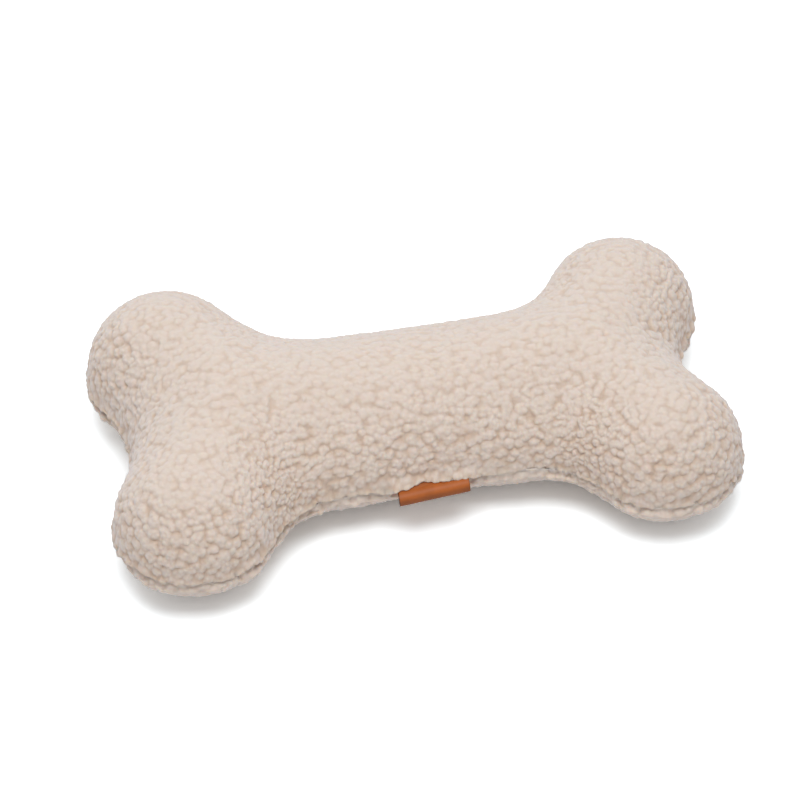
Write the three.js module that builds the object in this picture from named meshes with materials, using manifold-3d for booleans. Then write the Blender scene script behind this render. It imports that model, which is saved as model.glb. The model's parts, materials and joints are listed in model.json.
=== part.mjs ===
// Plush bone dog toy. Two fleece panels are sewn together round a stuffing that holds a squeaker,
// and a folded leather tab is caught in the front seam.
// Millimetres, +Z up. The long axis is X, the tab is on the -Y side and the toy lies on z = 0.

import * as THREE from 'three';
import { mergeVertices } from 'three/addons/utils/BufferGeometryUtils.js';
import Module from 'manifold-3d';

const wasm = await Module();
wasm.setup();

// Bone outline, seen from above
const BONE_LENGTH = 300;
const LOBE_RADIUS = 38;
const LOBE_SPREAD = 97;
const SHAFT_WIDTH = 94.5;
const WAIST_RADIUS = 37;
const NOTCH_RADIUS = 40;

// Heights above the table, or above the seam
const SEAM_HEIGHT = 27.5;
const SHAFT_CROWN = 36.5;
const JUNCTION_CROWN = 39.6;
const LOBE_CROWN = 38.2;
const RESTING_FLAT_DEPTH = 0.5;

// Fleece, backing and pile together, and its seam allowance
const FLEECE_THICKNESS = 4;
const ALLOWANCE_WIDTH = 9;
const ALLOWANCE_THICKNESS = 2.5;

// Sewing thread and the stitched-up gap that the toy was turned and filled through
const THREAD_DIAMETER = 0.7;
const THREAD_CLEARANCE = 0.25;
const THREAD_INSET = 2.2;
const TURNING_GAP = 60;
const LADDER_PITCH = 7.5;
const LADDER_SWING = 0.9;
const THREAD_END_GAP = 0.5;

// Stuffing
const FILL_CLEARANCE = 0.7;
const FILL_SPLIT = 0.3;

// Folded leather tab
const LEATHER_THICKNESS = 1.1;
const TAB_WIDTH = 34;
const TAB_REACH = 8;
const TAB_ROOT_DEPTH = 7.5;
const TAB_CLEARANCE = 0.3;
const TAB_STAND_OFF = 1.6;
const TAB_FOLD_RADIUS = 1.35;
const TAB_DROOP = THREE.MathUtils.degToRad(30);

// Squeaker: a moulded bellows with a reed plug in its neck
const BELLOWS_RADIUS = 19;
const BELLOWS_HEIGHT = 21;
const BELLOWS_WALL = 0.9;
const FOLD_DEPTH = 3.2;
const NECK_RADIUS = 7;
const NECK_HEIGHT = 3;
const SQUEAKER_BASE_HEIGHT = 19;
const PLUG_CLEARANCE = 0.3;
const PLUG_FLANGE = 1.2;
const PLUG_LENGTH = 8;
const REED_BORE_RADIUS = 3;
const REED_THICKNESS = 0.5;
const REED_LENGTH = 6;
const REED_CLEARANCE = 0.3;

// Overrun of every cutting tool
const OVERRUN = 5;

// Shape of a stuffed section, and shares of the sizes that they follow
const CROWN_POWER = 2.1;
const CROWN_ROOT = 2;
const JUNCTION_SHARE = 0.715;
const SHAFT_END_SHARE = 0.4;

// Counts of steps along the outline, of rings up the surfaces and of turned segments
const SHAFT_STEPS = 4;
const WAIST_STEPS = 3;
const BRANCH_STEPS = 4;
const LOBE_STEPS = 12;
const OUTER_RINGS = 6;
const INNER_RINGS = 4;
const THREAD_SIDES = 6;
const LADDER_STEPS_PER_PITCH = 6;
const TURNED_SEGMENTS = 20;
const BELLOWS_FOLDS = 3;
const FOLD_STEPS = 8;

// Materials
const fleece = new THREE.MeshStandardMaterial({ color: 0xe3d5c5, roughness: 0.95, metalness: 0 });
const polyesterThread = new THREE.MeshStandardMaterial({ color: 0xe9dfd2, roughness: 0.7, metalness: 0 });
const polyesterFibre = new THREE.MeshStandardMaterial({ color: 0xf2f1ee, roughness: 1, metalness: 0 });
const tanLeather = new THREE.MeshStandardMaterial({ color: 0xb9682f, roughness: 0.55, metalness: 0 });
const mouldedBulb = new THREE.MeshStandardMaterial({ color: 0xf0f0ea, roughness: 0.35, metalness: 0 });
const plugPlastic = new THREE.MeshStandardMaterial({ color: 0xd8dde2, roughness: 0.4, metalness: 0 });
const reedPlastic = new THREE.MeshStandardMaterial({ color: 0xc9b27a, roughness: 0.3, metalness: 0 });

const toy = new THREE.Group();

function addPiece(name, geometry, material) {
  const piece = new THREE.Mesh(geometry, material);
  piece.name = name;
  toy.add(piece);
  return piece;
}

// Solids and cuts
function merged(geometry) {
  const bare = geometry.clone();
  bare.deleteAttribute('normal');
  bare.deleteAttribute('uv');
  return mergeVertices(bare);
}

function toSolid(geometry) {
  const closed = merged(geometry);
  return new wasm.Manifold(new wasm.Mesh({
    numProp: 3,
    vertProperties: Float32Array.from(closed.getAttribute('position').array),
    triVerts: Uint32Array.from(closed.getIndex().array),
  }));
}

function toGeometry(solid) {
  const mesh = solid.getMesh();
  const geometry = new THREE.BufferGeometry();
  geometry.setAttribute('position', new THREE.BufferAttribute(mesh.vertProperties, 3));
  geometry.setIndex(new THREE.BufferAttribute(mesh.triVerts, 1));
  geometry.computeVertexNormals();
  return geometry;
}

function box(low, high) {
  const size = high.clone().sub(low);
  const centre = low.clone().add(high).divideScalar(2);
  return new THREE.BoxGeometry(size.x, size.y, size.z).translate(centre.x, centre.y, centre.z);
}

function cut(geometry, ...tools) {
  const rest = tools.reduce((solid, tool) => solid.subtract(toSolid(tool)), toSolid(geometry));
  return toGeometry(rest);
}

function keepInside(geometry, low, high) {
  return toGeometry(toSolid(geometry).intersect(toSolid(box(low, high))));
}

// Rings of equal count, each joined to the next.
// The first and the last lie folded flat on a line, which closes them.
function ringSolid(rings) {
  const count = rings[0].length;
  const positions = rings.flat().flatMap((point) => point.toArray());
  const triangles = [];
  for (let level = 0; level + 1 < rings.length; level += 1) {
    for (let i = 0; i < count; i += 1) {
      const here = level * count + i;
      const beside = level * count + (i + 1) % count;
      triangles.push(here, beside, beside + count, here, beside + count, here + count);
    }
  }
  const geometry = new THREE.BufferGeometry();
  geometry.setAttribute('position', new THREE.Float32BufferAttribute(positions, 3));
  geometry.setIndex(triangles);
  const closed = merged(geometry);
  const index = Array.from(closed.getIndex().array);
  const kept = [];
  for (let i = 0; i < index.length; i += 3) {
    const corners = index.slice(i, i + 3);
    if (new Set(corners).size === 3) kept.push(...corners);
  }
  closed.setIndex(kept);
  closed.computeVertexNormals();
  return closed;
}

// Outline: shaft sides, waist arcs, lobe arcs and end notches, tangent to each other
const lobeX = BONE_LENGTH / 2 - LOBE_RADIUS;
const lobeY = LOBE_SPREAD / 2;
const shaftSide = SHAFT_WIDTH / 2;
const junctionX = JUNCTION_SHARE * lobeX;
const waistY = shaftSide + WAIST_RADIUS;
const waistX = lobeX - Math.sqrt((LOBE_RADIUS + WAIST_RADIUS) ** 2 - (waistY - lobeY) ** 2);
const notchX = lobeX + Math.sqrt((LOBE_RADIUS + NOTCH_RADIUS) ** 2 - lobeY ** 2);

// A quarter of the outline, from the middle of the back shaft side to the bottom of the end notch.
// Each point keeps the direction out of the bone and its root, the place on the skeleton that it swells from.
function quarterOutline() {
  const points = [];
  const add = (x, y, outX, outY, rootX, rootY) => points.push({ x, y, outX, outY, rootX, rootY });
  const branch = (share) => [THREE.MathUtils.lerp(junctionX, lobeX, share), lobeY * share];

  for (let i = 0; i < SHAFT_STEPS; i += 1) {
    const x = waistX * i / SHAFT_STEPS;
    add(x, shaftSide, 0, 1, x, 0);
  }

  const waistFrom = -Math.PI / 2;
  const waistTo = Math.atan2(lobeY - waistY, lobeX - waistX);
  const waistCount = WAIST_STEPS + BRANCH_STEPS;
  for (let i = 0; i < waistCount; i += 1) {
    const angle = THREE.MathUtils.lerp(waistFrom, waistTo, i / waistCount);
    const [c, s] = [Math.cos(angle), Math.sin(angle)];
    const alongShaft = [THREE.MathUtils.lerp(waistX, junctionX, i / WAIST_STEPS), 0];
    const root = i < WAIST_STEPS ? alongShaft : branch((i - WAIST_STEPS) / BRANCH_STEPS);
    add(waistX + WAIST_RADIUS * c, waistY + WAIST_RADIUS * s, -c, -s, ...root);
  }

  const lobeFrom = Math.atan2(waistY - lobeY, waistX - lobeX);
  const lobeTo = Math.atan2(-lobeY, notchX - lobeX);
  for (let i = 0; i <= LOBE_STEPS; i += 1) {
    const angle = THREE.MathUtils.lerp(lobeFrom, lobeTo, i / LOBE_STEPS);
    const [c, s] = [Math.cos(angle), Math.sin(angle)];
    add(lobeX + LOBE_RADIUS * c, lobeY + LOBE_RADIUS * s, c, s, lobeX, lobeY);
  }

  const notchFrom = Math.atan2(lobeY, lobeX - notchX);
  for (let i = 1; i <= BRANCH_STEPS; i += 1) {
    const angle = THREE.MathUtils.lerp(notchFrom, Math.PI, i / BRANCH_STEPS);
    const [c, s] = [Math.cos(angle), Math.sin(angle)];
    add(notchX + NOTCH_RADIUS * c, NOTCH_RADIUS * s, -c, -s, ...branch(1 - i / BRANCH_STEPS));
  }
  return points;
}

function mirrored(points, sideX, sideY) {
  return points.map((p) => ({
    x: p.x * sideX,
    y: p.y * sideY,
    outX: p.outX * sideX,
    outY: p.outY * sideY,
    rootX: p.rootX * sideX,
    rootY: p.rootY * sideY,
  }));
}

// The whole outline runs clockwise from the middle of the back side
const quarter = quarterOutline();
const outline = [
  ...quarter,
  ...mirrored(quarter, 1, -1).reverse().slice(1),
  ...mirrored(quarter, -1, -1).slice(1),
  ...mirrored(quarter, -1, 1).reverse().slice(1, -1),
];

// Height of the stuffed top over the seam: fullest where the shaft runs into the lobes
function crownOver(point) {
  const alongX = Math.abs(point.rootX);
  const alongShaft = THREE.MathUtils.smoothstep(alongX, 0, junctionX);
  const alongBranch = THREE.MathUtils.smoothstep(alongX, junctionX, lobeX);
  const shaftCrown = THREE.MathUtils.lerp(SHAFT_CROWN, JUNCTION_CROWN, alongShaft);
  return THREE.MathUtils.lerp(shaftCrown, LOBE_CROWN, alongBranch);
}

// Share of the crown that is left at a share of the way out from the skeleton, and the way back
const domeAt = (share) => (1 - share ** CROWN_POWER) ** (1 / CROWN_ROOT);
const shareAt = (dome) => (1 - dome ** CROWN_ROOT) ** (1 / CROWN_POWER);

function ring(inset, shareOf, heightOf) {
  return outline.map((point) => {
    const share = shareOf(point);
    const x = THREE.MathUtils.lerp(point.rootX, point.x - point.outX * inset, share);
    const y = THREE.MathUtils.lerp(point.rootY, point.y - point.outY * inset, share);
    return new THREE.Vector3(x, y, heightOf(point));
  });
}

// Rings of a domed surface from the skeleton out to where it is rimRise over its base.
// The rise is below zero on a surface that hangs down, and flatDepth of such a surface is cut off level.
function domeRings({ inset, base, riseOf, rimRise = 0, flatDepth = 0, count }) {
  const rings = [];
  for (let i = 0; i <= count; i += 1) {
    const shareOf = (point) => {
      const rise = Math.abs(riseOf(point));
      const from = Math.asin(shareAt((rise - flatDepth) / rise));
      const spread = Math.sin(THREE.MathUtils.lerp(from, Math.PI / 2, i / count));
      return spread * shareAt(rimRise / rise);
    };
    rings.push(ring(inset, shareOf, (point) => base + riseOf(point) * domeAt(shareOf(point))));
  }
  if (flatDepth > 0) {
    const flatHeight = (point) => base + riseOf(point) + flatDepth;
    rings.unshift(ring(inset, () => 0, flatHeight));
  }
  return rings;
}

const flatRing = (inset, height) => ring(inset, () => 1, () => height);

// Panels: a domed skin whose rim turns in as the seam allowance
const seamGap = THREAD_DIAMETER + 2 * THREAD_CLEARANCE;
const upperRim = SEAM_HEIGHT + seamGap / 2;
const lowerRim = SEAM_HEIGHT - seamGap / 2;
const upperRise = (point) => crownOver(point) - seamGap / 2;
const lowerDrop = lowerRim + RESTING_FLAT_DEPTH;

const tabHalf = TAB_WIDTH / 2;
const tabThickness = 2 * LEATHER_THICKNESS;
const tabSlot = box(
  new THREE.Vector3(
    -tabHalf - TAB_CLEARANCE,
    -shaftSide - OVERRUN,
    SEAM_HEIGHT - tabThickness / 2 - TAB_CLEARANCE,
  ),
  new THREE.Vector3(
    tabHalf + TAB_CLEARANCE,
    -shaftSide + TAB_ROOT_DEPTH + TAB_CLEARANCE,
    SEAM_HEIGHT + tabThickness / 2 + TAB_CLEARANCE,
  ),
);

function upperPanel() {
  const outside = domeRings({ inset: 0, base: upperRim, riseOf: upperRise, count: OUTER_RINGS });
  const inside = domeRings({
    inset: FLEECE_THICKNESS,
    base: upperRim,
    riseOf: (point) => upperRise(point) - FLEECE_THICKNESS,
    rimRise: ALLOWANCE_THICKNESS,
    count: INNER_RINGS,
  });
  const allowance = [
    flatRing(ALLOWANCE_WIDTH, upperRim),
    flatRing(ALLOWANCE_WIDTH, upperRim + ALLOWANCE_THICKNESS),
  ];
  return cut(ringSolid([...outside, ...allowance, ...inside.reverse()]), tabSlot);
}

function lowerPanel() {
  const outside = domeRings({
    inset: 0,
    base: lowerRim,
    riseOf: () => -lowerDrop,
    flatDepth: RESTING_FLAT_DEPTH,
    count: OUTER_RINGS,
  });
  const inside = domeRings({
    inset: FLEECE_THICKNESS,
    base: lowerRim,
    riseOf: () => FLEECE_THICKNESS - lowerDrop,
    rimRise: ALLOWANCE_THICKNESS,
    count: INNER_RINGS,
  });
  const allowance = [
    flatRing(ALLOWANCE_WIDTH, lowerRim - ALLOWANCE_THICKNESS),
    flatRing(ALLOWANCE_WIDTH, lowerRim),
  ];
  return cut(ringSolid([...inside, ...allowance, ...outside.reverse()]), tabSlot);
}

addPiece('upper_panel', upperPanel(), fleece);
addPiece('lower_panel', lowerPanel(), fleece);

// Threads: one round the seam, and a ladder stitch across the turning gap at the back
function threadAlong(points, steps) {
  const section = new THREE.Shape();
  for (let i = 0; i < THREAD_SIDES; i += 1) {
    const angle = 2 * Math.PI * i / THREAD_SIDES;
    const [u, v] = [Math.cos(angle) * THREAD_DIAMETER / 2, Math.sin(angle) * THREAD_DIAMETER / 2];
    if (i === 0) section.moveTo(u, v);
    else section.lineTo(u, v);
  }
  section.closePath();
  const extrudePath = new THREE.CatmullRomCurve3(points, false, 'centripetal');
  return new THREE.ExtrudeGeometry(section, { steps, extrudePath, bevelEnabled: false });
}

function seamThread() {
  const insetPoints = outline
    .filter((p) => p.y < 0 || Math.abs(p.x) > TURNING_GAP / 2)
    .map((p) => new THREE.Vector3(p.x - p.outX * THREAD_INSET, p.y - p.outY * THREAD_INSET, SEAM_HEIGHT));
  const end = (side) => new THREE.Vector3(side * TURNING_GAP / 2, shaftSide - THREAD_INSET, SEAM_HEIGHT);
  const points = [end(1), ...insetPoints, end(-1)];
  return threadAlong(points, points.length);
}

function closingThread() {
  const reach = TURNING_GAP / 2 - THREAD_END_GAP;
  const turns = 2 * Math.max(2, Math.round(reach / LADDER_PITCH));
  const points = [];
  for (let i = 0; i <= turns; i += 1) {
    const swing = i === 0 || i === turns ? 0 : LADDER_SWING * (-1) ** i;
    const x = THREE.MathUtils.lerp(-reach, reach, i / turns);
    points.push(new THREE.Vector3(x, shaftSide - THREAD_INSET + swing, SEAM_HEIGHT));
  }
  return threadAlong(points, turns * LADDER_STEPS_PER_PITCH);
}

addPiece('seam_thread', seamThread(), polyesterThread);
addPiece('closing_thread', closingThread(), polyesterThread);

// Leather tab: a strip folded double. Its root lies in the seam, and its flap swings at the seam's edge.
const hingeY = -shaftSide - TAB_STAND_OFF;

function tabRoot() {
  const outerEnd = hingeY + tabThickness / 2 + TAB_CLEARANCE;
  const innerEnd = -shaftSide + TAB_ROOT_DEPTH;
  const strip = box(
    new THREE.Vector3(-tabHalf, outerEnd, SEAM_HEIGHT - tabThickness / 2),
    new THREE.Vector3(tabHalf, innerEnd, SEAM_HEIGHT + tabThickness / 2),
  );
  const radius = THREAD_DIAMETER / 2 + THREAD_CLEARANCE;
  const stitchChannel = new THREE.CylinderGeometry(radius, radius, TAB_WIDTH + OVERRUN, THREAD_SIDES)
    .rotateZ(Math.PI / 2)
    .translate(0, -shaftSide + THREAD_INSET, SEAM_HEIGHT);
  return cut(strip, stitchChannel);
}

// Side view of the flap: a rounded edge on the hinge line, and a fuller fold at the free edge
function tabFlap() {
  const edgeRadius = tabThickness / 2;
  const foldAt = TAB_REACH - TAB_FOLD_RADIUS;
  const lean = Math.asin((TAB_FOLD_RADIUS - edgeRadius) / foldAt);
  const profile = new THREE.Shape();
  profile.absarc(0, 0, edgeRadius, Math.PI / 2 + lean, 3 * Math.PI / 2 - lean, false);
  profile.absarc(foldAt, 0, TAB_FOLD_RADIUS, -Math.PI / 2 - lean, Math.PI / 2 + lean, false);
  profile.closePath();
  const flap = new THREE.ExtrudeGeometry(profile, {
    depth: TAB_WIDTH,
    bevelEnabled: false,
    curveSegments: FOLD_STEPS,
  });
  const out = new THREE.Vector3(0, -1, 0);
  const up = new THREE.Vector3(0, 0, 1);
  const along = new THREE.Vector3(-1, 0, 0);
  return flap.applyMatrix4(new THREE.Matrix4().makeBasis(out, up, along));
}

addPiece('tab_root', tabRoot(), tanLeather);
const flap = addPiece('tab_flap', tabFlap(), tanLeather);
flap.position.set(tabHalf, hingeY, SEAM_HEIGHT);
flap.rotation.x = TAB_DROOP;

// Squeaker, turned about the upright axis in the middle of the shaft
const bellowsTop = SQUEAKER_BASE_HEIGHT + BELLOWS_HEIGHT;
const neckTop = bellowsTop + NECK_HEIGHT;
const neckBore = NECK_RADIUS - BELLOWS_WALL;
const barrelRadius = neckBore - PLUG_CLEARANCE;
const flangeTop = neckTop + PLUG_CLEARANCE + PLUG_FLANGE;

function turned(profile) {
  const points = profile.map(([radius, height]) => new THREE.Vector2(radius, height));
  return new THREE.LatheGeometry(points, TURNED_SEGMENTS).rotateX(Math.PI / 2);
}

// Folds of the bellows, from the base up. Two points a fold: its crest and the valley above it.
function bellowsFolds(inward) {
  const points = [];
  const pitch = (BELLOWS_HEIGHT - 2 * inward) / BELLOWS_FOLDS;
  for (let i = 0; i < BELLOWS_FOLDS; i += 1) {
    const low = SQUEAKER_BASE_HEIGHT + inward + pitch * i;
    points.push([BELLOWS_RADIUS - inward, low + pitch / 2]);
    if (i + 1 < BELLOWS_FOLDS) points.push([BELLOWS_RADIUS - FOLD_DEPTH - inward, low + pitch]);
  }
  return points;
}

function bellows() {
  const shoulder = BELLOWS_RADIUS - FOLD_DEPTH;
  const floorInside = SQUEAKER_BASE_HEIGHT + BELLOWS_WALL;
  const topInside = bellowsTop - BELLOWS_WALL;
  const outside = [
    [0, SQUEAKER_BASE_HEIGHT],
    [shoulder, SQUEAKER_BASE_HEIGHT],
    ...bellowsFolds(0),
    [shoulder, bellowsTop],
    [NECK_RADIUS, bellowsTop],
    [NECK_RADIUS, neckTop],
  ];
  const inside = [
    [neckBore, neckTop],
    [neckBore, topInside],
    [shoulder - BELLOWS_WALL, topInside],
    ...bellowsFolds(BELLOWS_WALL).reverse(),
    [shoulder - BELLOWS_WALL, floorInside],
    [0, floorInside],
  ];
  return turned([...outside, ...inside]);
}

function plug() {
  const flangeBottom = neckTop + PLUG_CLEARANCE;
  const barrelBottom = neckTop - PLUG_LENGTH;
  return turned([
    [REED_BORE_RADIUS, barrelBottom],
    [barrelRadius, barrelBottom],
    [barrelRadius, flangeBottom],
    [NECK_RADIUS, flangeBottom],
    [NECK_RADIUS, flangeTop],
    [REED_BORE_RADIUS, flangeTop],
    [REED_BORE_RADIUS, barrelBottom],
  ]);
}

function reed() {
  const width = 2 * (REED_BORE_RADIUS - REED_CLEARANCE);
  const centreHeight = flangeTop - (flangeTop - neckTop + PLUG_LENGTH) / 2;
  return new THREE.BoxGeometry(width, REED_THICKNESS, REED_LENGTH).translate(0, 0, centreHeight);
}

addPiece('squeaker_bellows', bellows(), mouldedBulb);
addPiece('squeaker_plug', plug(), plugPlastic);
addPiece('squeaker_reed', reed(), reedPlastic);

// Stuffing: one body under the skin, grooved for the allowances, parted into the shaft and the lobes
function wholeFill() {
  const inset = FLEECE_THICKNESS + FILL_CLEARANCE;
  const grooveInset = ALLOWANCE_WIDTH + FILL_CLEARANCE;
  const rimRise = ALLOWANCE_THICKNESS + FILL_CLEARANCE;
  const top = domeRings({
    inset,
    base: upperRim,
    riseOf: (point) => upperRise(point) - inset,
    rimRise,
    count: INNER_RINGS,
  });
  const bottom = domeRings({
    inset,
    base: lowerRim,
    riseOf: () => inset - lowerDrop,
    rimRise,
    count: INNER_RINGS,
  });
  const groove = [flatRing(grooveInset, upperRim + rimRise), flatRing(grooveInset, lowerRim - rimRise)];
  return ringSolid([...top, ...groove, ...bottom.reverse()]);
}

function upright(radius, from, to) {
  return new THREE.CylinderGeometry(radius, radius, to - from, TURNED_SEGMENTS)
    .rotateX(Math.PI / 2)
    .translate(0, 0, (from + to) / 2);
}

const shaftEnd = waistX + SHAFT_END_SHARE * WAIST_RADIUS;
const far = new THREE.Vector3(BONE_LENGTH, BONE_LENGTH, SEAM_HEIGHT + JUNCTION_CROWN + OVERRUN);
const fill = wholeFill();
const pocketFloor = SQUEAKER_BASE_HEIGHT - FILL_CLEARANCE;
const pocket = [
  upright(BELLOWS_RADIUS + FILL_CLEARANCE, pocketFloor, bellowsTop + FILL_CLEARANCE),
  upright(NECK_RADIUS + FILL_CLEARANCE, bellowsTop, flangeTop + FILL_CLEARANCE),
];

for (const [name, side] of [['left', -1], ['right', 1]]) {
  const ends = [side * FILL_SPLIT / 2, side * (shaftEnd - FILL_SPLIT / 2)].sort((a, b) => a - b);
  const low = new THREE.Vector3(ends[0], -far.y, 0);
  const high = new THREE.Vector3(ends[1], far.y, far.z);
  addPiece(`fill_shaft_${name}`, cut(keepInside(fill, low, high), ...pocket), polyesterFibre);
}

for (const [endName, sideX] of [['left', -1], ['right', 1]]) {
  for (const [sideName, sideY] of [['front', -1], ['back', 1]]) {
    const alongX = [sideX * (shaftEnd + FILL_SPLIT / 2), sideX * far.x].sort((a, b) => a - b);
    const alongY = [sideY * FILL_SPLIT / 2, sideY * far.y].sort((a, b) => a - b);
    const low = new THREE.Vector3(alongX[0], alongY[0], 0);
    const high = new THREE.Vector3(alongX[1], alongY[1], far.z);
    addPiece(`fill_lobe_${sideName}_${endName}`, keepInside(fill, low, high), polyesterFibre);
  }
}

export default toy;
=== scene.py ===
import json
import math

import bmesh
import bpy
import numpy as np
from bpy.props import FloatProperty, FloatVectorProperty, IntProperty, PointerProperty
from mathutils import Matrix, Vector
from mathutils.kdtree import KDTree


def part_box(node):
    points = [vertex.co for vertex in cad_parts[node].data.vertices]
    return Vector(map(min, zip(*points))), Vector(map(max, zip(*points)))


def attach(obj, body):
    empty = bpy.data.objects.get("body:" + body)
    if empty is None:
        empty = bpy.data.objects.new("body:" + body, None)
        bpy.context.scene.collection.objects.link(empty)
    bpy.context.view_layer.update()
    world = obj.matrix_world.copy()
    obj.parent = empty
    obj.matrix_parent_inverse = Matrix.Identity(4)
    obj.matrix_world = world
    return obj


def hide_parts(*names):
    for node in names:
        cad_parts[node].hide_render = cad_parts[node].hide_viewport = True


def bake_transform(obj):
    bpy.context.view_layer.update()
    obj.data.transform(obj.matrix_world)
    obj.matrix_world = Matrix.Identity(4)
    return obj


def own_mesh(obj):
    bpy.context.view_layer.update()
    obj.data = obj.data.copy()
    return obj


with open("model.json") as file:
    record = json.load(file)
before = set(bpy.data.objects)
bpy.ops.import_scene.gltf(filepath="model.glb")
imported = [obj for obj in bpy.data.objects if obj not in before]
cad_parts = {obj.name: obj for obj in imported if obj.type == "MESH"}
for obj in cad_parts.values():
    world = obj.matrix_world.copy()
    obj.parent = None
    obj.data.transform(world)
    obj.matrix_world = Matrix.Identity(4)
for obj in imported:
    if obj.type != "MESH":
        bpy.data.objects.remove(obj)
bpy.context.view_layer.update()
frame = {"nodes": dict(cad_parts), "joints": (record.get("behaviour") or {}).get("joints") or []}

bl_info = {
    "name": "Plush bone dog toy",
    "version": (1, 0, 0),
    "blender": (4, 5, 0),
    "location": "3D View > Sidebar > Plush bone",
    "description": "Dresses the packed model of a stuffed sherpa bone with a leather tab",
    "category": "Object",
}

MM = 0.001

# Heights of the two fleece edges at the seam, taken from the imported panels
UPPER_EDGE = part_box("upper_panel")[0].z
LOWER_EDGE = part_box("lower_panel")[1].z
SEAM_HEIGHT = (UPPER_EDGE + LOWER_EDGE) / 2

# Middle of each lobe, from the four lobe wads
LOBE_X = 0.112
LOBE_Y = 0.0485

# How the four lobes differ from the pattern: shift in X and Y, and swelling
LOBE_STUFFING = {
    (-1, 1): (0.3 * MM, 2.6 * MM, 0.055),
    (-1, -1): (0.0, -1.5 * MM, 0.025),
    (1, 1): (1.0 * MM, 0.0, 0.012),
    (1, -1): (-1.2 * MM, 1.0 * MM, 0.015),
}
# How far the stuffing pushes out the bottom of the two end notches
NOTCH_STUFFING = {-1: 3.0 * MM, 1: 0.0}
# Where the front of the shaft bulges on each side of the tab, how widely, and how far
FRONT_BULGES = ((-38.0 * MM, 22.0 * MM, 2.5 * MM), (48.0 * MM, 24.0 * MM, 2.5 * MM))

# How far from its middle a lobe is shifted and swollen in full, and where that ends
LOBE_FULL_REACH = 0.036
LOBE_REACH = 0.080
# How much more a lobe swells upwards than sideways
LOBE_RISE = 1.5
# Where in X the stuffing of a notch starts to push and pushes in full, and the same across it in Y
NOTCH_FROM_X, NOTCH_FULL_X = 0.095, 0.128
NOTCH_FULL_Y, NOTCH_TO_Y = 0.008, 0.034
# How far from the middle in Y the shaft's bulges start and are full
BULGE_FROM_Y, BULGE_FULL_Y = 0.020, 0.045

# In degrees, the sharpest edge that still belongs to the outside of a panel
SKIN_SHARPNESS = 62
CLOTH_FRAMES = 20
# Points of the remeshed cover that are closer than this at the seam are made one
SEAM_MERGE = 0.6 * MM
# How near to the seam a point snaps onto it, and how far up and down the pull of the seam reaches
SEAM_ROW = 2.0 * MM
SEAM_PULL_REACH = 4.0 * MM
# Below this the cover lies on the floor and is held
RESTING_HEIGHT = 0.8 * MM

PILE_FACES = "pile_faces"
ALLOWANCE_THICKNESS = 2.5 * MM
# The curls and the knots on them: spacing, how widely their directions scatter, how much fuller the
# downhill side is, and how far the outline of each is bent out of round
TUFT_SPACING_LOW = 3.0 * MM
TUFT_SPACING_HIGH = 5.6 * MM
TUFT_SCATTER = 0.6
TUFT_LAY = 0.2
TUFT_WARP = 0.1
KNOT_SPACING_LOW = 1.7 * MM
KNOT_SPACING_HIGH = 2.8 * MM
KNOT_LENGTH = 0.3 * MM
KNOT_SCATTER = 2.0
KNOT_LAY = 0.0
KNOT_WARP = 0.0
# Radius of a curl against its spacing, how softly curls run together, and how many reach one point
OVERLAP = 0.62
SOFTNESS = 0.1
NEIGHBOURS = 8
# Distance between the points of the pile's mesh, and how many are tried for each close curl
PILE_PITCH = 0.5 * MM
TRIES = 9.0
# Where in X the curls start to run round the lobes instead of along the shaft, and do so in full
ROUND_FROM_X, ROUND_FULL_X = 0.055, 0.085
# How much closer the curls stand in the crushed corners
CRUSH = 0.4

# How much flatter the pile lies on the back slopes, and how much lighter its painted shade is there
BACK_FLAT_AND_LIGHT_SHARE = 0.45

# The corners where the shaft runs into the lobes, where the pile is crushed together
NECK_X = 0.072
NECK_Y = 0.050
NECK_REACH = 0.017

# How the fleece rolls over the seam: how far the upper lip drops, and how much that varies along it
LIP_DROP = 3.6 * MM
LIP_WAVE = 1.0 * MM
# Where in X, how widely and how far the upper lip rides up at the front, where the lower cover's
# roll stands up before the seam
FRONT_LIFTS = (
    (46.0 * MM, 26.0 * MM, 2.6 * MM),
    (110.0 * MM, 30.0 * MM, 1.8 * MM),
    (-42.0 * MM, 18.0 * MM, 2.0 * MM),
    (-112.0 * MM, 30.0 * MM, 1.5 * MM),
)
FULL_LIFT = 2.6 * MM
# How far from the middle in Y the lips start to rise and do so in full
LIFT_FROM_Y, LIFT_FULL_Y = 0.004, 0.030
# Lengths of the slow and the quick waves along the lips, and how far the upper one stands out
LIP_WAVELENGTH = 22.0 * MM
LIP_RIPPLE = 8.0 * MM
LIP_OVERHANG = 1.9 * MM
# Distances from the edge, up or down, at which the upper lip is full and at which it ends
ROLL_EDGE = 1.2 * MM
ROLL_REACH = 6.0 * MM
# The same for the roll of the lower cover, and how far it and its edge stand out
LOWER_ROLL_FROM = 2.5 * MM
LOWER_ROLL_AT = 6.0 * MM
LOWER_ROLL_TO = 15.0 * MM
LOWER_ROLL_OUT = 2.2 * MM
LOWER_EDGE_OUT = 0.8 * MM
# How far that roll rises where the upper lip rides up, and how far from the edge it is highest
LOWER_RISE = 3.0 * MM
LOWER_RISE_AT = 1.6 * MM
# How far from the edge the crease is painted dark as shade, and within which the pile is shorter
CREASE_SHADE_REACH = 2.0 * MM
GROWTH_REACH = 0.9 * MM
# How far the pile hangs over the tab, and how far from its middle in X it does
TAB_FRINGE = 2.2 * MM
FRINGE_FULL_X, FRINGE_TO_X = 0.018, 0.022

TAB_X = (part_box("tab_flap")[0].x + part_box("tab_flap")[1].x) / 2
# How far on each side of the hinge the leather bends, and how far the bend is rounded
TAB_BEND = 1.4 * MM
TAB_ROUNDING = 0.16 * MM
# How far out from the hinge the askew strip has its full lift
TAB_LIFTED_FROM = 2.5 * MM
# Distances from the fold within which the leather is darker, and from which it is painted darker
# again as the shade that the fleece casts on it
FOLD_DARK, FOLD_DARK_TO = 0.4 * MM, 1.6 * MM
ROOT_SHADE_FROM, ROOT_SHADE_FULL = 5.0 * MM, 8.5 * MM

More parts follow.
